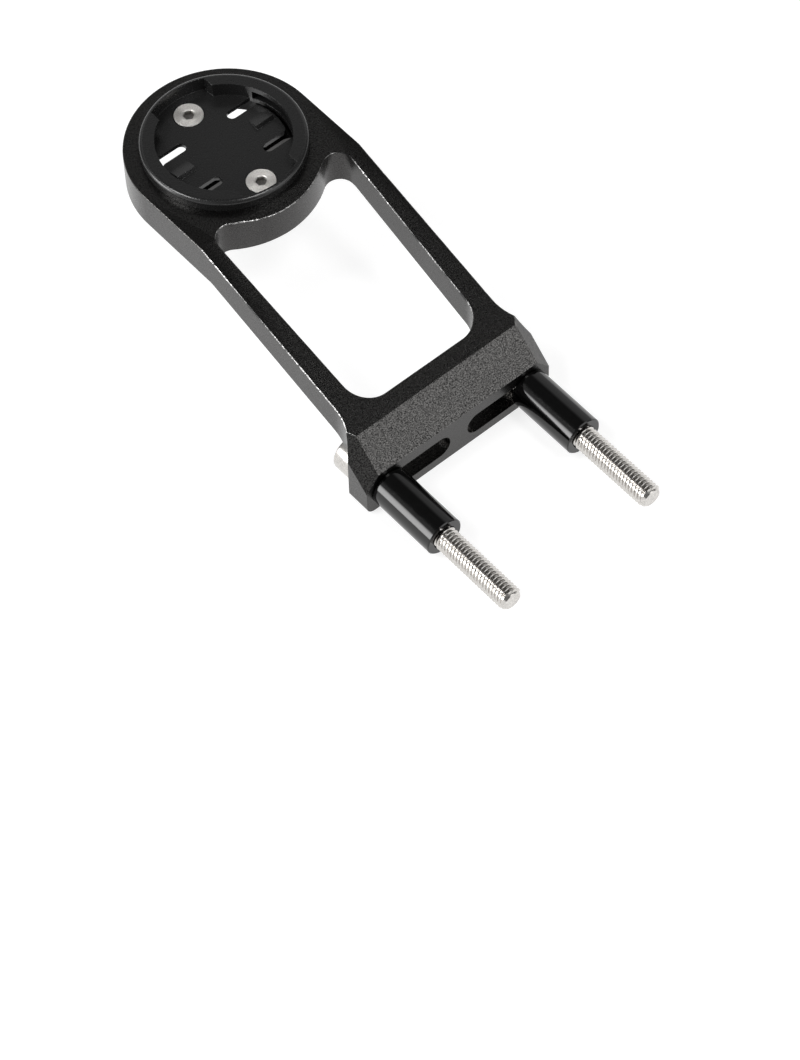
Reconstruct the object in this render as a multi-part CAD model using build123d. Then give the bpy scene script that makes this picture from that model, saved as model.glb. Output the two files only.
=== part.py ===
from build123d import *
import math
import os

# Bike computer mount that bolts to the face of a handlebar stem. Sizes are in millimetres.
# The origin lies on the flange's front face, level with the bolts and midway between them.
# X runs across the mount, the bolts point along -Y, the head lies at +Y and Z is up.

# Gaps between pieces, each on one side or on the radius
bolt_gap = 0.10
seat_gap = 0.05
screw_gap = 0.03
head_room = 0.35

# Bolts that go into the stem. Their threads are left plain: at the outside size on the free
# end, and at the pitch size where they pass through the flange and the spacer
bolt_spacing = 34.0
bolt_dia = 4.9
bolt_pitch_dia = 4.48
bolt_length = 40.0
bolt_head_dia = 8.5
bolt_head_height = 5.0
bolt_key_size = 4.0
bolt_key_depth = 2.6
bolt_tip_chamfer = 0.7
bolt_head_chamfer = 0.4
free_end_gap = 0.2

# Spacer tubes that slide on the bolts
spacer_dia = 8.0
spacer_length = 15.5
spacer_chamfer = 0.2

# Countersunk screws that hold the insert
screw_inset = 2.25
screw_thread_dia = 2.94
screw_length = 6.0
screw_head_dia = 5.97
screw_head_rim = 0.2
screw_key_size = 2.0
screw_key_depth = 1.2

# Quarter-turn insert, heights taken from the top of the head
insert_dia = 32.0
insert_rise = 2.3
insert_seat_depth = 2.6
insert_floor_depth = 0.8
insert_floor_thickness = 1.0
insert_rim_round = 0.9
insert_skirt_wall = 1.4
insert_boss_dia = 8.0
lip_width = 3.0
lip_thickness = 1.2
groove_wall = 0.9
entry_width = 12.8
stop_start_angle = 27.0

# Spring tongues cut in the insert's floor, with a detent ridge on each
tongue_width = 8.7
tongue_length = 5.95
tongue_slot_width = 2.1
tongue_slot_overrun = 0.1
tongue_end_gap = 0.8
tongue_corner_round = 0.8
detent_inset = 0.7
detent_length = 4.1
detent_height = 0.8
detent_offset = 0.35
detent_ramp = 2.65
detent_drop = 0.45

# Head of the bracket, a round plate with a stepped hole for the insert
head_top = 23.95
head_thickness = 7.66
head_wall = 3.05
head_ledge = 0.55
lug_width = 6.8
lug_thickness = 3.0
web_width = 9.2
web_corner_round = 3.0

# Arms that slope down from the head to the flange
fold_y = 49.9
fold_gap = 0.45
arm_angle = 16.5
arm_thickness = 6.64
arm_width_at_fold = 3.2
arm_width_at_flange = 4.45
window_front = 9.58
window_front_round = 5.5
window_rear_share = 0.157

# Flange that the bolts clamp
flange_thickness = 6.0
flange_front_height = 5.16
flange_depth_below = 4.65
flange_corner_round = 2.0
slot_web = 4.2
slot_end_wall = 2.77
brow_angle = 43.74
flare_radius = 10.0
flare_end = 12.5
flare_step = 3.22
facet_width = 2.97
facet_drop = 3.55

# Edges rounded off along the top of the bracket
edge_round = 0.25

# Sizes that follow from those above
bolt_x = bolt_spacing / 2
slot_radius = bolt_dia / 2 + bolt_gap
slot_inner_x = slot_web / 2 + slot_radius
flange_half = bolt_x + slot_radius + slot_end_wall
seat_radius = insert_dia / 2 + seat_gap
head_y = fold_y + fold_gap + seat_radius
head_radius = seat_radius + head_wall
bore_radius = seat_radius - head_ledge
window_rear_round = head_radius * window_rear_share
head_under = head_top - head_thickness
seat_z = head_top - insert_seat_depth
floor_z = head_top - insert_floor_depth
arm_slope = math.tan(math.radians(arm_angle))
arm_depth = arm_thickness / math.cos(math.radians(arm_angle))
bolt_pocket_z = bolt_head_dia / 2 + head_room
groove_radius = insert_dia / 2 - groove_wall
lip_radius = insert_dia / 2 - lip_width
screw_offset = lip_radius - screw_inset
tongue_reach = lip_radius - tongue_end_gap
tongue_start = tongue_reach - tongue_length

# Outer side of each arm: a straight line from the flare's end that touches the head's circle
arm_x = flange_half - flare_step
arm_run = math.hypot(arm_x, head_y - flare_end)
touch_angle = math.acos(head_radius / arm_run) - math.atan2(head_y - flare_end, arm_x)
touch_x = head_radius * math.cos(touch_angle)
touch_y = head_y + head_radius * math.sin(touch_angle)

# Room that a cutting shape has past the face that it cuts
over = 5.0


def arm_top(y):
    """Height of the arms' sloping top."""
    return head_top - (fold_y - y) * arm_slope


def arm_side(y):
    """Distance of the arms' outer side from the middle."""
    return arm_x + (touch_x - arm_x) * (y - flare_end) / (touch_y - flare_end)


def block(x, y, z):
    """Box between two values along each axis."""
    size = (x[1] - x[0], y[1] - y[0], z[1] - z[0])
    return Pos(x[0], y[0], z[0]) * Box(*size, align=(Align.MIN, Align.MIN, Align.MIN))


def disc(radius, bottom, top):
    """Upright cylinder between two heights."""
    return Pos(0, 0, bottom) * Cylinder(radius, top - bottom, align=(Align.CENTER, Align.CENTER, Align.MIN))


def side_form():
    """Bracket seen from the side: flange, sloping arms and level head."""
    brow_slope = math.tan(math.radians(brow_angle))
    brow_y = (arm_top(0) - flange_front_height) / (brow_slope - arm_slope)
    rear_y = head_y + head_radius + over
    outline = Polyline(
        (0, -flange_depth_below),
        (0, flange_front_height),
        (brow_y, arm_top(brow_y)),
        (fold_y, head_top),
        (rear_y, head_top),
        (rear_y, -flange_depth_below),
        close=True,
    )
    under_fold_y = fold_y - (head_thickness - arm_depth) / arm_slope
    space_below = Polyline(
        (flange_thickness, -flange_depth_below - over),
        (flange_thickness, arm_top(flange_thickness) - arm_depth),
        (under_fold_y, head_under),
        (rear_y + over, head_under),
        (rear_y + over, -flange_depth_below - over),
        close=True,
    )
    pocket = Polyline(
        (flange_thickness, -flange_depth_below - over),
        (flange_thickness, bolt_pocket_z),
        (window_front + over, bolt_pocket_z),
        (window_front + over, -flange_depth_below - over),
        close=True,
    )
    face = make_face(outline) - make_face(space_below) - make_face(pocket)
    return extrude(Plane.YZ * face, flange_half + over, both=True)


def plan_form():
    """Bracket seen from above: flange ends, flares, straight arms and round head."""
    flare_x = arm_x + flare_radius * math.cos(touch_angle)
    flare_y = flare_end + flare_radius * math.sin(touch_angle)
    flare_start = flare_y - math.sqrt(flare_radius**2 - (flare_x - flange_half) ** 2)
    touch_degrees = math.degrees(touch_angle)
    with BuildSketch() as plan:
        with BuildLine():
            Line((0, 0), (flange_half, 0))
            Line((flange_half, 0), (flange_half, flare_start))
            RadiusArc((flange_half, flare_start), (arm_x, flare_end), flare_radius)
            Line((arm_x, flare_end), (touch_x, touch_y))
            CenterArc((0, head_y), head_radius, touch_degrees, 90 - touch_degrees)
            mirror(about=Plane.YZ)
        make_face()
    return Pos(0, 0, -flange_depth_below) * extrude(plan.sketch, flange_depth_below + head_top)


def front_form():
    """Bracket seen from the front, with rounded lower corners."""
    height = flange_depth_below + head_top
    face = Rectangle(2 * flange_half, height, align=(Align.CENTER, Align.MIN))
    face = fillet(face.vertices().group_by(Axis.Y)[0], flange_corner_round)
    solid = extrude(Plane.XZ * Pos(0, -flange_depth_below) * face, -(head_y + head_radius + over))
    return solid


def corner_facet(side):
    """Everything outside the flat facet on one upper corner of the flange."""
    corner = Vector(side * (flange_half - facet_width), 0, flange_front_height)
    along = Vector(0, math.cos(math.radians(brow_angle)), math.sin(math.radians(brow_angle)))
    across = Vector(side * facet_width, 0, -facet_drop)
    normal = across.cross(along) * side
    reach = 2 * (flange_half + head_y)
    return Plane(corner, z_dir=normal) * Box(reach, reach, reach, align=(Align.CENTER, Align.CENTER, Align.MIN))


def window():
    """Opening between the arms, with round corners and the head's curve at the back."""
    half_front = arm_side(window_front) - arm_width_at_flange
    half_fold = arm_side(fold_y) - arm_width_at_fold
    half_rear = half_front + (half_fold - half_front) * (head_y - window_front) / (fold_y - window_front)
    face = make_face(
        Polyline(
            (-half_front, window_front),
            (half_front, window_front),
            (half_rear, head_y),
            (-half_rear, head_y),
            close=True,
        )
    )
    face -= Pos(0, head_y) * Circle(head_radius)
    corners = face.vertices().group_by(Axis.Y)
    face = fillet(corners[0], window_front_round)
    face = fillet(face.vertices().group_by(Axis.Y)[-1], window_rear_round)
    return Pos(0, 0, -flange_depth_below) * extrude(face, flange_depth_below + head_top + over)


def bolt_slot(side):
    """Slot through the flange that one bolt slides along."""
    length = bolt_x - slot_inner_x
    face = SlotCenterToCenter(length, 2 * slot_radius)
    place = Pos(side * (bolt_x + slot_inner_x) / 2, -over, 0)
    return place * extrude(Plane.XZ * face, -(flange_thickness + 2 * over))


def round_upper_edges(body):
    """Round off the outline and the window, along the level and the sloping top."""
    slope_angle = math.radians(arm_angle)
    slope_axis = Axis((0, 0, 0), (0, -math.sin(slope_angle), math.cos(slope_angle)))
    level = body.faces().filter_by(Axis.Z).group_by(Axis.Z)[-1].edges()
    slope = body.faces().filter_by(slope_axis).group_by(slope_axis)[-1].edges()
    brow_edge = slope.sort_by(Axis.Y)[0]
    fold = [edge for edge in level if edge in slope]
    seat_edge = level.sort_by(Edge.length)[-1]
    kept_sharp = [brow_edge, seat_edge, *fold]
    return body.fillet(edge_round, [edge for edge in level + slope if edge not in kept_sharp])


def head_hollow(side):
    """Hollow under the insert, on one side of the web that crosses the head."""
    face = Circle(bore_radius) & Pos(0, side * (web_width / 2 + bore_radius)) * Rectangle(
        2 * bore_radius, 2 * bore_radius
    )
    face = fillet(face.vertices(), web_corner_round)
    return Pos(0, 0, head_under - over) * extrude(face, seat_z - head_under + over)


def make_bracket():
    """One machined piece: flange, two arms and the head with its seat."""
    body = side_form() & plan_form() & front_form()
    for side in (-1, 1):
        body -= corner_facet(side)
        body -= bolt_slot(side)
    body -= window()
    centre = Pos(0, head_y, 0)
    body -= centre * disc(seat_radius, seat_z, head_top + over)
    for side in (-1, 1):
        body -= centre * head_hollow(side)
        lug = Pos(0, side * screw_offset, 0) * disc(lug_width / 2, seat_z - lug_thickness, seat_z)
        ends = sorted((side * screw_offset, side * (bore_radius + head_ledge)))
        lug += block((-lug_width / 2, lug_width / 2), ends, (seat_z - lug_thickness, seat_z))
        hole = Pos(0, side * screw_offset, 0) * disc(
            screw_thread_dia / 2 + screw_gap, seat_z - lug_thickness - over, seat_z + over
        )
        body += centre * lug
        body -= centre * hole
    return round_upper_edges(body)


def screw_form(gap):
    """Countersunk screw standing with its head's top at the origin, grown by a gap."""
    head = screw_head_dia / 2 + gap
    thread = screw_thread_dia / 2 + gap
    cone = head - thread
    form = disc(head, -screw_head_rim, 0)
    form += Pos(0, 0, -screw_head_rim - cone) * Cone(
        thread, head, cone, align=(Align.CENTER, Align.CENTER, Align.MIN)
    )
    form += disc(thread, -screw_length, -screw_head_rim)
    return form


def hex_socket(size, depth):
    """Hexagonal hole for a key, sunk from the origin downwards."""
    return extrude(RegularPolygon(size / 2, 6, major_radius=False), -depth)


def make_insert_screw(side):
    """Countersunk screw, flush with the insert's floor."""
    screw = screw_form(0) - hex_socket(screw_key_size, screw_key_depth)
    return Pos(0, head_y + side * screw_offset, floor_z) * screw


def tongue_cut(side):
    """Slot in the insert's floor, round three sides of one spring tongue."""
    outline = Pos(tongue_start, 0) * Rectangle(
        lip_radius, tongue_width + 2 * tongue_slot_width, align=(Align.MIN, Align.CENTER)
    )
    tongue = Rectangle(lip_radius, tongue_width, align=(Align.MIN, Align.CENTER)) & Circle(tongue_reach)
    tongue = fillet(tongue.vertices().group_by(Axis.X)[-1], tongue_corner_round)
    cut = (outline & Circle(lip_radius + tongue_slot_overrun)) - tongue
    for end in (-1, 1):
        slot_y = end * (tongue_width + tongue_slot_width) / 2
        cut += Pos(tongue_start, slot_y) * Circle(tongue_slot_width / 2)
    cut = Pos(0, 0, -insert_seat_depth) * extrude(cut, insert_seat_depth - insert_floor_depth)
    return cut if side > 0 else mirror(cut, about=Plane.YZ)


def detent(side):
    """Ridge across one spring tongue, with a long ramp and a steep drop."""
    ridge = Polyline((-detent_drop, 0), (0, detent_height), (detent_ramp, 0), close=True)
    solid = extrude(Plane.YZ * make_face(ridge), detent_length)
    start = tongue_reach - detent_inset - detent_length
    solid = Pos(start, -detent_offset, -insert_floor_depth) * solid
    return solid if side > 0 else mirror(solid, about=Plane.YZ)


def turn_stop():
    """Block under one lip that ends the quarter turn."""
    lip_under = insert_rise - lip_thickness
    ring = disc(groove_radius + groove_wall / 2, -insert_floor_depth, lip_under)
    ring -= disc(lip_radius, -insert_floor_depth, lip_under)
    side_wall = block((entry_width / 2, insert_dia), (0, insert_dia), (-insert_floor_depth, lip_under))
    beyond = Rot(0, 0, stop_start_angle) * block((0, insert_dia), (0, insert_dia), (-over, over))
    return ring & side_wall & beyond


def make_insert():
    """Moulded quarter-turn socket: ring, two lips, floor, tongues and turn stops."""
    ring = disc(insert_dia / 2, -insert_seat_depth, insert_rise)
    ring = fillet(ring.edges().sort_by(Axis.Z)[-1], insert_rim_round)
    under_floor = -insert_floor_depth - insert_floor_thickness
    hollow = disc(insert_dia / 2 - insert_skirt_wall, -insert_seat_depth, under_floor)
    hollow -= Pos(0, screw_offset, 0) * disc(insert_boss_dia / 2, -insert_seat_depth, under_floor)
    hollow -= Pos(0, -screw_offset, 0) * disc(insert_boss_dia / 2, -insert_seat_depth, under_floor)
    groove = disc(groove_radius, -insert_floor_depth, insert_rise - lip_thickness)
    mouth = disc(lip_radius, -insert_floor_depth, insert_rise)
    entry = disc(groove_radius, -insert_floor_depth, insert_rise)
    entry &= Box(entry_width, insert_dia, insert_dia)
    body = ring - hollow - groove - mouth - entry
    stop = turn_stop()
    body += stop
    body += Rot(0, 0, 180) * stop
    for side in (-1, 1):
        body -= tongue_cut(side)
        body += detent(side)
        body -= Pos(0, side * screw_offset, -insert_floor_depth) * screw_form(screw_gap)
    return Pos(0, head_y, head_top) * body


def make_bolt(side):
    """Socket head bolt through the flange and its spacer, with a free end for the stem."""
    head = disc(bolt_head_dia / 2, 0, bolt_head_height)
    head = chamfer(head.edges().sort_by(Axis.Z)[-1], bolt_head_chamfer)
    free_end_top = -flange_thickness - spacer_length - free_end_gap
    free_end = disc(bolt_dia / 2, -bolt_length, free_end_top)
    free_end = chamfer(free_end.edges().sort_by(Axis.Z)[0], bolt_tip_chamfer)
    shank = disc(bolt_pitch_dia / 2, free_end_top, 0)
    bolt = head + shank + free_end - Pos(0, 0, bolt_head_height) * hex_socket(bolt_key_size, bolt_key_depth)
    return Pos(side * bolt_x, flange_thickness, 0) * Rot(-90, 0, 0) * bolt


def make_spacer(side):
    """Tube between the flange and the stem, on one bolt."""
    tube = disc(spacer_dia / 2, -spacer_length, 0) - disc(bolt_dia / 2 + bolt_gap, -spacer_length, 0)
    outer_edges = tube.edges().filter_by(GeomType.CIRCLE).sort_by(SortBy.RADIUS)[-2:]
    tube = chamfer(outer_edges, spacer_chamfer)
    return Pos(side * bolt_x, 0, 0) * Rot(-90, 0, 0) * tube


pieces = {
    "bracket": make_bracket(),
    "insert": make_insert(),
    "insert_screw_front": make_insert_screw(-1),
    "insert_screw_rear": make_insert_screw(1),
    "spacer_left": make_spacer(-1),
    "spacer_right": make_spacer(1),
    "bolt_left": make_bolt(-1),
    "bolt_right": make_bolt(1),
}

os.makedirs("parts", exist_ok=True)
for name, piece in pieces.items():
    export_step(piece, f"parts/{name}.step")
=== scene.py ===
import math

import bmesh
import bpy
from mathutils import Matrix, Vector


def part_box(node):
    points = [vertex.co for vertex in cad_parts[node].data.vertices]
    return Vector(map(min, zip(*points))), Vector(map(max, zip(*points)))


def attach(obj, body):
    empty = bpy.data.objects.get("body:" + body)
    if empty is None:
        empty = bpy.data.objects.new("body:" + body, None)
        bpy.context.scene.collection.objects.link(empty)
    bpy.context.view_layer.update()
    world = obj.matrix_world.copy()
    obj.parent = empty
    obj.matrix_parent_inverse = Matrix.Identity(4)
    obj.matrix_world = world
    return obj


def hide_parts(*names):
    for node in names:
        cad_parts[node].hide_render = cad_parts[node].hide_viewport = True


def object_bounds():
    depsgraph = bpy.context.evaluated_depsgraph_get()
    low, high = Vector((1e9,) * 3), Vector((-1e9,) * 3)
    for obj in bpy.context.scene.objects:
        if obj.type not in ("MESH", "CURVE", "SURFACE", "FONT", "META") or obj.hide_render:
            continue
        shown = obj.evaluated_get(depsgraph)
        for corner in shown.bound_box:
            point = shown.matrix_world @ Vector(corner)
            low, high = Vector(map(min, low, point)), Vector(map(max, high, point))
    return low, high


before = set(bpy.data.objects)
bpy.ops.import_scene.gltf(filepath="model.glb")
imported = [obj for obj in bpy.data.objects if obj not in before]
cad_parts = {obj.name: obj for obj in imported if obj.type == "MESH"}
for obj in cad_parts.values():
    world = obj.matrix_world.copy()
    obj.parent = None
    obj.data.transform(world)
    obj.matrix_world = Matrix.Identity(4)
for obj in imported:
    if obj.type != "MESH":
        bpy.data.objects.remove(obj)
cad_box = [list(corner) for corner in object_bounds()]

# Bracket: one piece of aluminium with the flange, the arms and the head, machined and anodised
# black. Its tops are fine bead blasted and its upright walls are as the cutter left them. The
# corners that a deburring tool breaks get a fine round, which catches the light.
BRACKET_EDGE = 0.00012
EDGE_SEGMENTS = 2
SHARP_CORNER = math.radians(25)
SAME_PLACE = 1e-6
SAME_PLANE = math.radians(0.05)
FLAT_FACE_WEIGHT = 60


def smoothed_copy(node, name, edge):
    """Copy of a solid's mesh with its corners broken and its curved faces smooth."""
    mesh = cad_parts[node].data.copy()
    mesh.name = name
    shape = bmesh.new()
    shape.from_mesh(mesh)
    bmesh.ops.remove_doubles(shape, verts=shape.verts, dist=SAME_PLACE)
    bmesh.ops.dissolve_limit(
        shape,
        angle_limit=SAME_PLANE,
        verts=shape.verts,
        edges=shape.edges,
        delimit=set(),
    )
    for face in shape.faces:
        face.smooth = True
    shape.to_mesh(mesh)
    shape.free()
    mesh.materials.clear()
    piece = bpy.data.objects.new(name, mesh)
    bpy.context.scene.collection.objects.link(piece)
    bevel = piece.modifiers.new("broken corners", "BEVEL")
    bevel.limit_method = "ANGLE"
    bevel.angle_limit = SHARP_CORNER
    bevel.width = edge
    bevel.segments = EDGE_SEGMENTS
    bevel.use_clamp_overlap = True
    weigh = piece.modifiers.new("flat faces stay flat", "WEIGHTED_NORMAL")
    weigh.keep_sharp = True
    weigh.weight = FLAT_FACE_WEIGHT
    return piece


GRAIN_DETAIL = 2
GRAIN_ROUGHNESS = 0.6
GRAIN_LOW = 0.33
GRAIN_HIGH = 0.67
PIT_DEPTH = 0.00003


def grain_group():
    """Fine grain of a blasted or moulded skin: a mask from 0 to 1 and its bumps."""
    group = bpy.data.node_groups.new("blasted grain", "ShaderNodeTree")
    face = group.interface
    face.new_socket("Vector", in_out="INPUT", socket_type="NodeSocketVector")
    face.new_socket("Grain Size", in_out="INPUT", socket_type="NodeSocketFloat")
    face.new_socket("Depth", in_out="INPUT", socket_type="NodeSocketFloat")
    face.new_socket("Mask", in_out="OUTPUT", socket_type="NodeSocketFloat")
    face.new_socket("Normal", in_out="OUTPUT", socket_type="NodeSocketVector")
    nodes, links = group.nodes, group.links
    entry = nodes.new("NodeGroupInput")
    out = nodes.new("NodeGroupOutput")
    per_metre = nodes.new("ShaderNodeMath")
    per_metre.operation = "DIVIDE"
    per_metre.inputs[0].default_value = 1
    links.new(entry.outputs["Grain Size"], per_metre.inputs[1])
    pits = nodes.new("ShaderNodeTexNoise")
    pits.inputs["Detail"].default_value = GRAIN_DETAIL
    pits.inputs["Roughness"].default_value = GRAIN_ROUGHNESS
    links.new(entry.outputs["Vector"], pits.inputs["Vector"])
    links.new(per_metre.outputs[0], pits.inputs["Scale"])
    spread = nodes.new("ShaderNodeMapRange")
    spread.inputs["From Min"].default_value = GRAIN_LOW
    spread.inputs["From Max"].default_value = GRAIN_HIGH
    links.new(pits.outputs["Fac"], spread.inputs["Value"])
    bump = nodes.new("ShaderNodeBump")
    bump.inputs["Distance"].default_value = PIT_DEPTH
    links.new(entry.outputs["Depth"], bump.inputs["Strength"])
    links.new(spread.outputs[0], bump.inputs["Height"])
    links.new(spread.outputs[0], out.inputs["Mask"])
    links.new(bump.outputs["Normal"], out.inputs["Normal"])
    return group


GRAIN = grain_group()


def grained(name, metallic, size, depth, dark, light, smooth, rough, patches=0):
    """Finish with a grain of one size, dark and rough in its pits, light and smooth between them.

    Where patches is given, the light colour shows only in patches of that size.
    """
    material = bpy.data.materials.new(name)
    material.use_nodes = True
    nodes, links = material.node_tree.nodes, material.node_tree.links
    shader = nodes["Principled BSDF"]
    shader.inputs["Metallic"].default_value = metallic
    coordinates = nodes.new("ShaderNodeTexCoord")
    grain = nodes.new("ShaderNodeGroup")
    grain.node_tree = GRAIN
    grain.inputs["Grain Size"].default_value = size
    grain.inputs["Depth"].default_value = depth
    links.new(coordinates.outputs["Object"], grain.inputs["Vector"])
    tone = nodes.new("ShaderNodeMix")
    tone.data_type = "RGBA"
    tone.inputs["A"].default_value = (*dark, 1)
    tone.inputs["B"].default_value = (*light, 1)
    links.new(tone.outputs["Result"], shader.inputs["Base Color"])
    if patches:
        areas = nodes.new("ShaderNodeGroup")
        areas.node_tree = GRAIN
        areas.inputs["Grain Size"].default_value = patches
        links.new(coordinates.outputs["Object"], areas.inputs["Vector"])
        both = nodes.new("ShaderNodeMath")
        both.operation = "MULTIPLY"
        links.new(grain.outputs["Mask"], both.inputs[0])
        links.new(areas.outputs["Mask"], both.inputs[1])
        links.new(both.outputs[0], tone.inputs["Factor"])
    else:
        links.new(grain.outputs["Mask"], tone.inputs["Factor"])
    gloss = nodes.new("ShaderNodeMapRange")
    gloss.inputs["To Min"].default_value = rough
    gloss.inputs["To Max"].default_value = smooth
    links.new(grain.outputs["Mask"], gloss.inputs["Value"])
    links.new(gloss.outputs[0], shader.inputs["Roughness"])
    links.new(grain.outputs["Normal"], shader.inputs["Normal"])
    return material


black_anodised = grained(
    "black anodised aluminium",
    metallic=1,
    size=0.00022,
    depth=0.16,
    dark=(0.009, 0.009, 0.009),
    light=(0.136, 0.133, 0.130),
    smooth=0.22,
    rough=0.34,
)

# The upright walls keep the smoother skin that the side of the cutter left
milled_wall = grained(
    "black anodised milled wall",
    metallic=1,
    size=0.00016,
    depth=0.2,
    dark=(0.042, 0.041, 0.040),
    light=(0.080, 0.078, 0.077),
    smooth=0.22,
    rough=0.32,
)

# The broken corners are rubbed thin in places, where the bare metal glints through the black
rubbed_edge = grained(
    "anodising rubbed thin at the corners",
    metallic=1,
    size=0.0005,
    depth=0.3,
    dark=(0.04, 0.04, 0.04),
    light=(0.95, 0.94, 0.93),
    smooth=0.22,
    rough=0.36,
    patches=0.0058,
)

# The rear of the bore under the insert gets a darker, rougher black: painted shade for the hollow
# under the insert, where little light gets in
painted_shade_bore = grained(
    "black bore with painted shade",
    metallic=1,
    size=0.0004,
    depth=0.3,
    dark=(0.010, 0.010, 0.010),
    light=(0.018, 0.018, 0.018),
    smooth=0.5,
    rough=0.65,
)

# Between these two places along the arms, the rounds of their corners are rubbed as well.
# How far a face's normal points up tells a round from an upright wall.
RUBBED_FROM = 0.0062
RUBBED_TO = 0.0520
ROUND_LEAST_UP = 0.2
ROUND_MOST_UP = 0.93
WALL_MOST_UP = 0.3

bracket = smoothed_copy("bracket", "machined_bracket", BRACKET_EDGE)
finishes = [black_anodised, rubbed_edge, painted_shade_bore, milled_wall]
for finish in finishes:
    bracket.data.materials.append(finish)
bracket.modifiers["broken corners"].material = finishes.index(rubbed_edge)
seat_low, seat_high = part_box("insert")
head_centre = (seat_low + seat_high) / 2
head_bore = (seat_high.x - seat_low.x) / 2
for face in bracket.data.polygons:
    centre, up = face.center, face.normal.z
    if RUBBED_FROM < centre.y < RUBBED_TO and ROUND_LEAST_UP < up < ROUND_MOST_UP:
        face.material_index = finishes.index(rubbed_edge)
    elif abs(up) < WALL_MOST_UP:
        # Upright faces at the rear of the bore under the insert get the painted shade, and the other
        # upright faces get the milled skin
        in_bore = (centre - head_centre).xy.length < head_bore and centre.z < seat_low.z
        at_rear = centre.y > head_centre.y
        skin = painted_shade_bore if in_bore and at_rear else milled_wall
        face.material_index = finishes.index(skin)
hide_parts("bracket")
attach(bracket, "frame")

# Insert: the quarter-turn socket, moulded in black glass-filled nylon with a satin skin.
# It is pressed into the head's seat, and two screws hold its floor down on the lugs below.
INSERT_EDGE = 0.00018
NYLON_IOR = 1.58

black_nylon = grained(
    "black glass-filled nylon",
    metallic=0,
    size=0.0003,
    depth=0.30,
    dark=(0.010, 0.010, 0.010),
    light=(0.016, 0.016, 0.016),
    smooth=0.18,
    rough=0.28,
)
shader = black_nylon.node_tree.nodes["Principled BSDF"]
shader.inputs["IOR"].default_value = NYLON_IOR

insert = smoothed_copy("insert", "moulded_insert", INSERT_EDGE)
insert.data.materials.append(black_nylon)
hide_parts("insert")
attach(insert, "frame")

# Insert screws: two M3 countersunk screws in turned stainless steel, driven by a 2 mm key.
# Their flat heads lie level with the insert's floor and show the rings of the turning tool.
SCREW_STEPS = 96
SCREW_THREAD_RADIUS = 0.00147
SCREW_GAP = 0.0001
SCREW_EDGE = 0.0001
SCREW_RIM = 0.0002
SCREW_RINGS = 5
RING_DEPTH = 0.00005
SCREW_KEY = 0.0020
SCREW_KEY_DEPTH = 0.0010
SCREW_KEY_MARGIN = 0.00003
SCREW_DISH_WIDTH = 0.00012
SCREW_DISH_DEPTH = 0.00008
CRISP_CORNER = math.radians(30)

# Depth of the middle of a corner's round, as a share of its radius
ROUND_MIDDLE = 0.3


def turned(name, profile, steps):
    """Mesh of a solid of revolution about Z, from a list of radius and height."""
    shape = bmesh.new()
    verts = [shape.verts.new((radius, 0, height)) for radius, height in profile]
    edges = [shape.edges.new(pair) for pair in zip(verts, verts[1:])]
    bmesh.ops.spin(
        shape,
        geom=verts + edges,
        cent=(0, 0, 0),
        axis=(0, 0, 1),
        angle=2 * math.pi,
        steps=steps,
        use_merge=True,
    )
    bmesh.ops.remove_doubles(shape, verts=shape.verts, dist=SAME_PLACE)
    bmesh.ops.recalc_face_normals(shape, faces=shape.faces)
    for face in shape.faces:
        face.smooth = True
    mesh = bpy.data.meshes.new(name)
    shape.to_mesh(mesh)
    shape.free()
    return mesh


def hexagon_corner(across):
    """Distance from a hexagon's middle to its corners, from its width across the flats."""
    return across / 2 / math.cos(math.pi / 6)


def hollow_key(mesh, ring_radius, across, depth, top):
    """Sink a hexagonal key hole inside the innermost ring of points of a head's top."""
    shape = bmesh.new()
    shape.from_mesh(mesh)
    ring = [
        vert
        for vert in shape.verts
        if abs(vert.co.xy.length - ring_radius) < SAME_PLACE and vert.co.z > top - SAME_PLACE
    ]
    edges = [
        edge for edge in shape.edges if edge.is_boundary and all(vert in ring for vert in edge.verts)
    ]
    sixth = math.pi / 3
    # The first step draws the ring in to a hexagon, and the second sinks the hexagon
    for drop in (0, depth):
        made = bmesh.ops.extrude_edge_only(shape, edges=edges)["geom"]
        edges = [item for item in made if isinstance(item, bmesh.types.BMEdge)]
        for vert in (item for item in made if isinstance(item, bmesh.types.BMVert)):
            from_flat = (math.atan2(vert.co.y, vert.co.x) + sixth / 2) % sixth - sixth / 2
            vert.co.xy = vert.co.xy.normalized() * (across / 2 / math.cos(from_flat))
            vert.co.z -= drop
    bmesh.ops.contextual_create(shape, geom=edges)
    for face in shape.faces:
        face.smooth = True
    bmesh.ops.recalc_face_normals(shape, faces=shape.faces)
    shape.to_mesh(mesh)
    shape.free()


def place(name, mesh, matrix):
    """Object of a turned piece, with crisp corners and its place in its mesh."""
    mesh.set_sharp_from_angle(angle=CRISP_CORNER)
    mesh.transform(matrix)
    piece = bpy.data.objects.new(name, mesh)
    bpy.context.scene.collection.objects.link(piece)
    return piece


def darken_below(material, light_height, dark_height, share):
    """Darken a finish from one height down to another, where little light of the room gets in."""
    nodes, links = material.node_tree.nodes, material.node_tree.links
    shader = nodes["Principled BSDF"]
    coordinates = nodes.new("ShaderNodeTexCoord")
    split = nodes.new("ShaderNodeSeparateXYZ")
    links.new(coordinates.outputs["Object"], split.inputs[0])
    level = nodes.new("ShaderNodeMapRange")
    level.inputs["From Min"].default_value = dark_height
    level.inputs["From Max"].default_value = light_height
    level.inputs["To Min"].default_value = share
    links.new(split.outputs["Z"], level.inputs["Value"])
    colour = shader.inputs["Base Color"].links[0].from_socket
    shade = nodes.new("ShaderNodeVectorMath")
    shade.operation = "SCALE"
    links.new(colour, shade.inputs[0])
    links.new(level.outputs[0], shade.inputs["Scale"])
    links.new(shade.outputs[0], shader.inputs["Base Color"])


# Depths under the screws' tops between which their key holes darken, and the light left there
KEY_SHADE_FROM = 0.00006
KEY_SHADE_TO = 0.0006
KEY_SHADE_SHARE = 0.3

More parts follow.
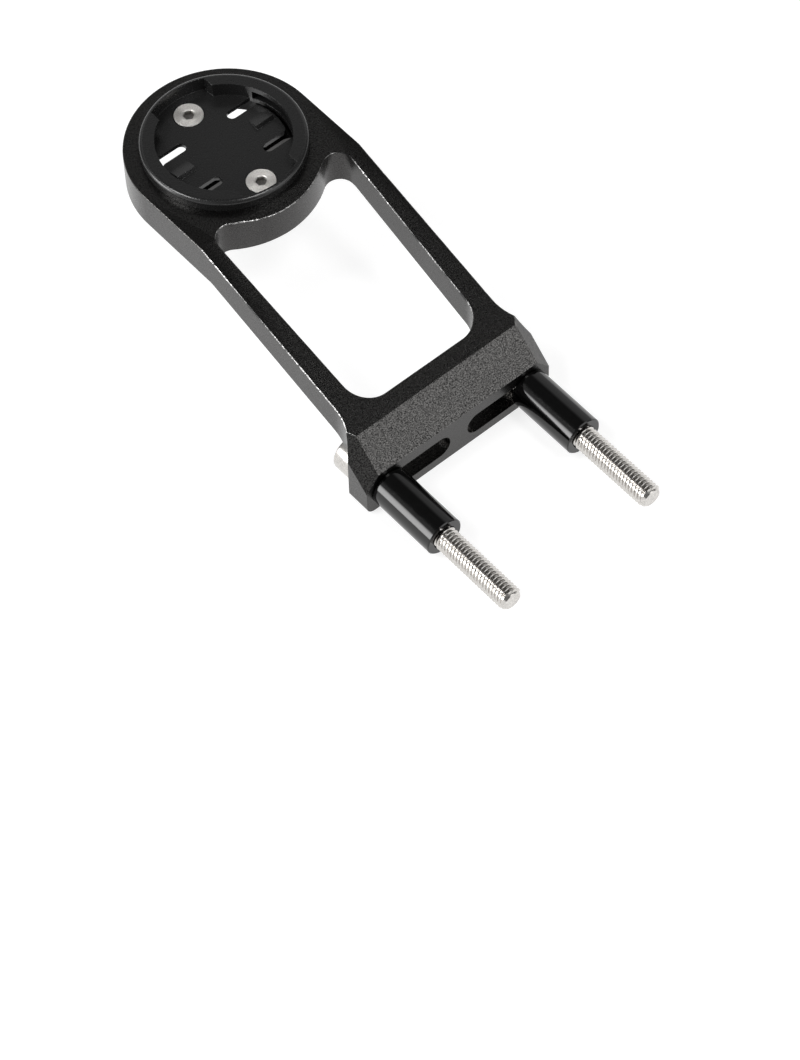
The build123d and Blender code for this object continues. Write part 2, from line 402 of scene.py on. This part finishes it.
turned_steel = grained(
    "turned stainless steel",
    metallic=1,
    size=0.0003,
    depth=0.10,
    dark=(0.75, 0.73, 0.70),
    light=(0.94, 0.92, 0.88),
    smooth=0.42,
    rough=0.56,
)
heads_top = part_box("insert_screw_front")[1].z
darken_below(turned_steel, heads_top - KEY_SHADE_FROM, heads_top - KEY_SHADE_TO, KEY_SHADE_SHARE)

for side in ("front", "rear"):
    low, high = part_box(f"insert_screw_{side}")
    centre = (low + high) / 2
    head = (high.x - low.x) / 2 - SCREW_GAP
    tip = low.z - high.z
    cone = head - SCREW_THREAD_RADIUS
    key = hexagon_corner(SCREW_KEY) + SCREW_KEY_MARGIN
    dish = key + SCREW_DISH_WIDTH
    ring_width = (head - SCREW_EDGE - dish) / SCREW_RINGS
    profile = [(key, -SCREW_DISH_DEPTH), (dish, 0)]
    for ring in range(SCREW_RINGS):
        start = dish + ring * ring_width
        profile += [(start + ring_width / 2, -RING_DEPTH), (start + ring_width, 0)]
    profile += [
        (head - ROUND_MIDDLE * SCREW_EDGE, -ROUND_MIDDLE * SCREW_EDGE),
        (head, -SCREW_EDGE),
        (head, -SCREW_RIM),
        (SCREW_THREAD_RADIUS, -SCREW_RIM - cone),
        (SCREW_THREAD_RADIUS, tip + SCREW_EDGE),
        (SCREW_THREAD_RADIUS - SCREW_EDGE, tip),
        (0, tip),
    ]
    mesh = turned(f"screw_{side}", profile, SCREW_STEPS)
    hollow_key(mesh, key, SCREW_KEY, SCREW_KEY_DEPTH, -SCREW_DISH_DEPTH)
    head_in_place = Matrix.Translation((centre.x, centre.y, high.z))
    screw = place(f"countersunk_screw_{side}", mesh, head_in_place)
    screw.data.materials.append(turned_steel)
    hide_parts(f"insert_screw_{side}")
    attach(screw, "frame")

# Spacers: two aluminium tubes, 8 mm across, polished and anodised gloss black.
# Each slides on its bolt and is clamped between the flange and the stem. The ends are faced off.
SPACER_STEPS = 128
SPACER_CHAMFER = 0.0002
SPACER_BORE = 0.00255
GLOSS_SPECULAR = 0.55
UP_TO_FRONT = Matrix.Rotation(math.radians(90), 4, "X")

gloss_black = grained(
    "gloss black anodised tube",
    metallic=0,
    size=0.0012,
    depth=0.02,
    dark=(0.001, 0.001, 0.001),
    light=(0.002, 0.002, 0.002),
    smooth=0.07,
    rough=0.11,
)
shader = gloss_black.node_tree.nodes["Principled BSDF"]
shader.inputs["Specular IOR Level"].default_value = GLOSS_SPECULAR

for side in ("left", "right"):
    low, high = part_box(f"spacer_{side}")
    centre = (low + high) / 2
    outer = (high.x - low.x) / 2
    length = high.y - low.y
    profile = [
        (SPACER_BORE, 0),
        (outer - SPACER_CHAMFER, 0),
        (outer, SPACER_CHAMFER),
        (outer, length - SPACER_CHAMFER),
        (outer - SPACER_CHAMFER, length),
        (SPACER_BORE, length),
        (SPACER_BORE, 0),
    ]
    mesh = turned(f"spacer_{side}", profile, SPACER_STEPS)
    rear_end = Matrix.Translation((centre.x, high.y, centre.z))
    spacer = place(f"spacer_tube_{side}", mesh, rear_end @ UP_TO_FRONT)
    spacer.data.materials.append(gloss_black)
    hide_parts(f"spacer_{side}")
    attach(spacer, f"{side}_spacer")

# Bolts: two M5 socket head bolts in stainless steel, threaded along their whole length.
# Each goes through its slot from behind the flange, through its spacer and on into the stem.
THREAD_PITCH = 0.0008
THREAD_STEPS = 40
THREAD_CREST = 0.00245
THREAD_ROOT = 0.00202
THREAD_ROUND = 0.00003
TIP_CHAMFER = 0.0006
BOLT_HEAD_STEPS = 96
HEAD_HEIGHT = 0.0050
HEAD_RADIUS = 0.00425
HEAD_OPENING = 0.0020
HEAD_ROUND = 0.0005
FOOT_CHAMFER_WIDTH = 0.0002
FOOT_CHAMFER_HEIGHT = 0.0003
BOLT_KEY = 0.0040
BOLT_KEY_DEPTH = 0.0026
BOLT_KEY_MARGIN = 0.0002
UP_TO_REAR = Matrix.Rotation(math.radians(-90), 4, "X")

# Two places on the round of a head's top corner, in from its side and down, as shares of its radius
ROUND_NEAR = 0.16
ROUND_FAR = 0.4

# Turns of thread that are made past its two ends and cut off flat
SPARE_TURNS = 3

# One turn of the thread: the radius of each point, and its height as a share of the pitch
THREAD_TURN = [
    (THREAD_ROOT, 0),
    (THREAD_ROOT, 0.13),
    (THREAD_CREST - THREAD_ROUND, 0.43),
    (THREAD_CREST, 0.47),
    (THREAD_CREST, 0.54),
    (THREAD_CREST - THREAD_ROUND, 0.58),
    (THREAD_ROOT, 0.88),
    (THREAD_ROOT, 1),
]


def thread(name, length):
    """Mesh of a screw thread about Z, from 0 down to its chamfered tip."""
    shape = bmesh.new()
    verts = [shape.verts.new((radius, 0, share * THREAD_PITCH)) for radius, share in THREAD_TURN]
    edges = [shape.edges.new(pair) for pair in zip(verts, verts[1:])]
    bmesh.ops.spin(
        shape,
        geom=verts + edges,
        cent=(0, 0, 0),
        axis=(0, 0, 1),
        dvec=(0, 0, THREAD_PITCH / THREAD_STEPS),
        angle=2 * math.pi,
        steps=THREAD_STEPS,
    )
    one_turn = shape.verts[:] + shape.edges[:] + shape.faces[:]
    for turn in range(1, math.ceil(length / THREAD_PITCH) + SPARE_TURNS):
        copy = bmesh.ops.duplicate(shape, geom=one_turn)["geom"]
        copied = [item for item in copy if isinstance(item, bmesh.types.BMVert)]
        bmesh.ops.translate(shape, verts=copied, vec=(0, 0, turn * THREAD_PITCH))
    below = -length - SPARE_TURNS / 2 * THREAD_PITCH
    bmesh.ops.translate(shape, verts=shape.verts, vec=(0, 0, below))
    bmesh.ops.remove_doubles(shape, verts=shape.verts, dist=SAME_PLACE)
    for height, cut_above in ((-length, False), (0, True)):
        cut = bmesh.ops.bisect_plane(
            shape,
            geom=shape.verts[:] + shape.edges[:] + shape.faces[:],
            plane_co=(0, 0, height),
            plane_no=(0, 0, 1),
            clear_outer=cut_above,
            clear_inner=not cut_above,
        )
        rim = [item for item in cut["geom_cut"] if isinstance(item, bmesh.types.BMEdge)]
        bmesh.ops.edgenet_fill(shape, edges=rim)
    for vert in shape.verts:
        widest = THREAD_CREST - TIP_CHAMFER + (vert.co.z + length)
        if vert.co.xy.length > widest:
            vert.co.xy = vert.co.xy.normalized() * widest
    bmesh.ops.recalc_face_normals(shape, faces=shape.faces)
    for face in shape.faces:
        face.smooth = True
    mesh = bpy.data.meshes.new(name)
    shape.to_mesh(mesh)
    shape.free()
    return mesh


bolt_steel = grained(
    "bright stainless steel",
    metallic=1,
    size=0.0003,
    depth=0.1,
    dark=(0.51, 0.49, 0.47),
    light=(0.68, 0.66, 0.63),
    smooth=0.12,
    rough=0.24,
)

for side in ("left", "right"):
    low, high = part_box(f"bolt_{side}")
    centre = (low + high) / 2
    under_head = high.y - HEAD_HEIGHT
    in_slot = Matrix.Translation((centre.x, under_head, centre.z)) @ UP_TO_REAR
    mesh = thread(f"thread_{side}", under_head - low.y)
    shank = place(f"bolt_thread_{side}", mesh, in_slot)
    shank.data.materials.append(bolt_steel)
    key = hexagon_corner(BOLT_KEY) + BOLT_KEY_MARGIN
    profile = [
        (key, HEAD_HEIGHT),
        (HEAD_RADIUS - HEAD_ROUND, HEAD_HEIGHT),
        (HEAD_RADIUS - ROUND_FAR * HEAD_ROUND, HEAD_HEIGHT - ROUND_NEAR * HEAD_ROUND),
        (HEAD_RADIUS - ROUND_NEAR * HEAD_ROUND, HEAD_HEIGHT - ROUND_FAR * HEAD_ROUND),
        (HEAD_RADIUS, HEAD_HEIGHT - HEAD_ROUND),
        (HEAD_RADIUS, FOOT_CHAMFER_HEIGHT),
        (HEAD_RADIUS - FOOT_CHAMFER_WIDTH, 0),
        (HEAD_OPENING, 0),
    ]
    mesh = turned(f"head_{side}", profile, BOLT_HEAD_STEPS)
    hollow_key(mesh, key, BOLT_KEY, BOLT_KEY_DEPTH, HEAD_HEIGHT)
    head = place(f"bolt_head_{side}", mesh, in_slot)
    head.data.materials.append(bolt_steel)
    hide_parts(f"bolt_{side}")
    for piece in (shank, head):
        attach(piece, f"{side}_bolt")

# Floor and light: a white sheet under the mount and a soft white studio round it.
# Its ceiling is almost dark, so that the level black faces stay black and the steep ones
# catch the light of the walls and softboxes.
FLOOR_GAP = 0.0001
FLOOR_SIZE = 3.0
FLOOR_SQUARES = 8
PAPER_GREY = 0.40
PAPER_GLOW = 0.78

floor_z = cad_box[0][2] - FLOOR_GAP
shape = bmesh.new()
bmesh.ops.create_grid(
    shape, x_segments=FLOOR_SQUARES, y_segments=FLOOR_SQUARES, size=FLOOR_SIZE / 2
)
bmesh.ops.translate(shape, verts=shape.verts, vec=(0, 0, floor_z))
mesh = bpy.data.meshes.new("white sheet")
shape.to_mesh(mesh)
shape.free()
floor = bpy.data.objects.new("floor", mesh)
bpy.context.scene.collection.objects.link(floor)

# The sheet glows only for the camera and in reflections, so it looks white and keeps its shadow
sheet_white = bpy.data.materials.new("white sheet")
sheet_white.use_nodes = True
nodes, links = sheet_white.node_tree.nodes, sheet_white.node_tree.links
nodes.clear()
paper = nodes.new("ShaderNodeBsdfDiffuse")
paper.inputs["Color"].default_value = (PAPER_GREY, PAPER_GREY, PAPER_GREY, 1)
glow = nodes.new("ShaderNodeEmission")
glow.inputs["Color"].default_value = (1, 1, 1, 1)
path = nodes.new("ShaderNodeLightPath")
seen = nodes.new("ShaderNodeMath")
seen.operation = "MAXIMUM"
links.new(path.outputs["Is Camera Ray"], seen.inputs[0])
links.new(path.outputs["Is Glossy Ray"], seen.inputs[1])
level = nodes.new("ShaderNodeMath")
level.operation = "MULTIPLY"
level.inputs[1].default_value = PAPER_GLOW
links.new(seen.outputs[0], level.inputs[0])
links.new(level.outputs[0], glow.inputs["Strength"])
both = nodes.new("ShaderNodeAddShader")
out = nodes.new("ShaderNodeOutputMaterial")
links.new(paper.outputs[0], both.inputs[0])
links.new(glow.outputs[0], both.inputs[1])
links.new(both.outputs[0], out.inputs["Surface"])
floor.data.materials.append(sheet_white)

world = bpy.data.worlds.new("studio")
bpy.context.scene.world = world
world.use_nodes = True
studio_nodes, studio_links = world.node_tree.nodes, world.node_tree.links
studio_nodes.clear()
around = studio_nodes.new("ShaderNodeTexCoord")


def patch(azimuth, elevation, inner, outer):
    """Mask of a round patch of the studio, from its middle and its soft edge in degrees."""
    turn, lift = math.radians(azimuth), math.radians(elevation)
    near = studio_nodes.new("ShaderNodeVectorMath")
    near.operation = "DOT_PRODUCT"
    near.inputs[1].default_value = (
        math.sin(turn) * math.cos(lift),
        -math.cos(turn) * math.cos(lift),
        math.sin(lift),
    )
    studio_links.new(around.outputs["Generated"], near.inputs[0])
    edge = studio_nodes.new("ShaderNodeMapRange")
    edge.interpolation_type = "SMOOTHSTEP"
    edge.inputs["From Min"].default_value = math.cos(math.radians(outer))
    edge.inputs["From Max"].default_value = math.cos(math.radians(inner))
    studio_links.new(near.outputs["Value"], edge.inputs["Value"])
    return edge.outputs[0]


def combine(operation, *values):
    """Result of one sum on values and sockets."""
    total = studio_nodes.new("ShaderNodeMath")
    total.operation = operation
    for socket, value in zip(total.inputs, values):
        if isinstance(value, bpy.types.NodeSocket):
            studio_links.new(value, socket)
        else:
            socket.default_value = value
    return total.outputs[0]


# Heights in the studio's dome, where 1 is straight overhead: the walls keep their light up to
# the first, and the ceiling has its own from the second on
WALL_TOP = 0.64
CEILING_FROM = 0.78
WALL_LIGHT = 0.62
CEILING_LIGHT = 0.10

# Each flag and softbox: azimuth and elevation of its middle, inner and outer half angle, strength
FLAGS = {
    "right flag": (76, 24, 10, 30, 0.75),
    "rear flag": (-158, 18, 8, 26, 0.75),
    "front flag": (-22, 22, 16, 42, 0.65),
}
SOFTBOXES = {
    "low left softbox": (-117, 13, 5, 21, 9.5),
    "high left softbox": (-110, 53, 4, 13, 16.0),
    "overhead softbox": (20, 66, 3, 10, 17.0),
    "front right softbox": (25, 30, 9, 24, 1.5),
}

split = studio_nodes.new("ShaderNodeSeparateXYZ")
studio_links.new(around.outputs["Generated"], split.inputs[0])
walls = studio_nodes.new("ShaderNodeMapRange")
walls.inputs["From Min"].default_value = WALL_TOP
walls.inputs["From Max"].default_value = CEILING_FROM
walls.inputs["To Min"].default_value = WALL_LIGHT
walls.inputs["To Max"].default_value = CEILING_LIGHT
studio_links.new(split.outputs["Z"], walls.inputs["Value"])
light = walls.outputs[0]
for *place_and_size, strength in FLAGS.values():
    shade = combine("MULTIPLY", patch(*place_and_size), strength)
    light = combine("MULTIPLY", light, combine("SUBTRACT", 1, shade))
for *place_and_size, strength in SOFTBOXES.values():
    light = combine("ADD", light, combine("MULTIPLY", patch(*place_and_size), strength))

# The camera sees plain white behind the object, and everything else sees the studio
lit = studio_nodes.new("ShaderNodeBackground")
studio_links.new(light, lit.inputs["Strength"])
white = studio_nodes.new("ShaderNodeBackground")
white.inputs["Color"].default_value = (1, 1, 1, 1)
path = studio_nodes.new("ShaderNodeLightPath")
pick = studio_nodes.new("ShaderNodeMixShader")
studio_links.new(path.outputs["Is Camera Ray"], pick.inputs["Fac"])
studio_links.new(lit.outputs[0], pick.inputs[1])
studio_links.new(white.outputs[0], pick.inputs[2])
out = studio_nodes.new("ShaderNodeOutputWorld")
studio_links.new(pick.outputs[0], out.inputs["Surface"])

# Camera: a long lens at the front left and above, as the photograph was taken.
# Its place, its directions and its lens, in pixels, were fitted to the photograph's edges.
CAMERA_AT = Vector((-0.27129, -0.31488, 0.57127))
CAMERA_RIGHT = Vector((0.75796, -0.65204, -0.01849))
CAMERA_UP = Vector((0.54463, 0.61699, 0.56807))
FOCAL_PIXELS = 3825.5
PICTURE_WIDTH = 800
SENSOR_WIDTH = 36.0
NEAREST = 0.01
FARTHEST = 20

lens = bpy.data.cameras.new("camera")
lens.sensor_fit = "HORIZONTAL"
lens.sensor_width = SENSOR_WIDTH
lens.lens = FOCAL_PIXELS * SENSOR_WIDTH / PICTURE_WIDTH
lens.clip_start = NEAREST
lens.clip_end = FARTHEST
camera = bpy.data.objects.new("camera", lens)
camera_back = CAMERA_RIGHT.cross(CAMERA_UP)
facing = Matrix((CAMERA_RIGHT, CAMERA_UP, camera_back)).transposed().to_4x4()
camera.matrix_world = Matrix.Translation(CAMERA_AT) @ facing
bpy.context.scene.collection.objects.link(camera)
bpy.context.scene.camera = camera
bpy.context.scene.view_settings.view_transform = "Standard"
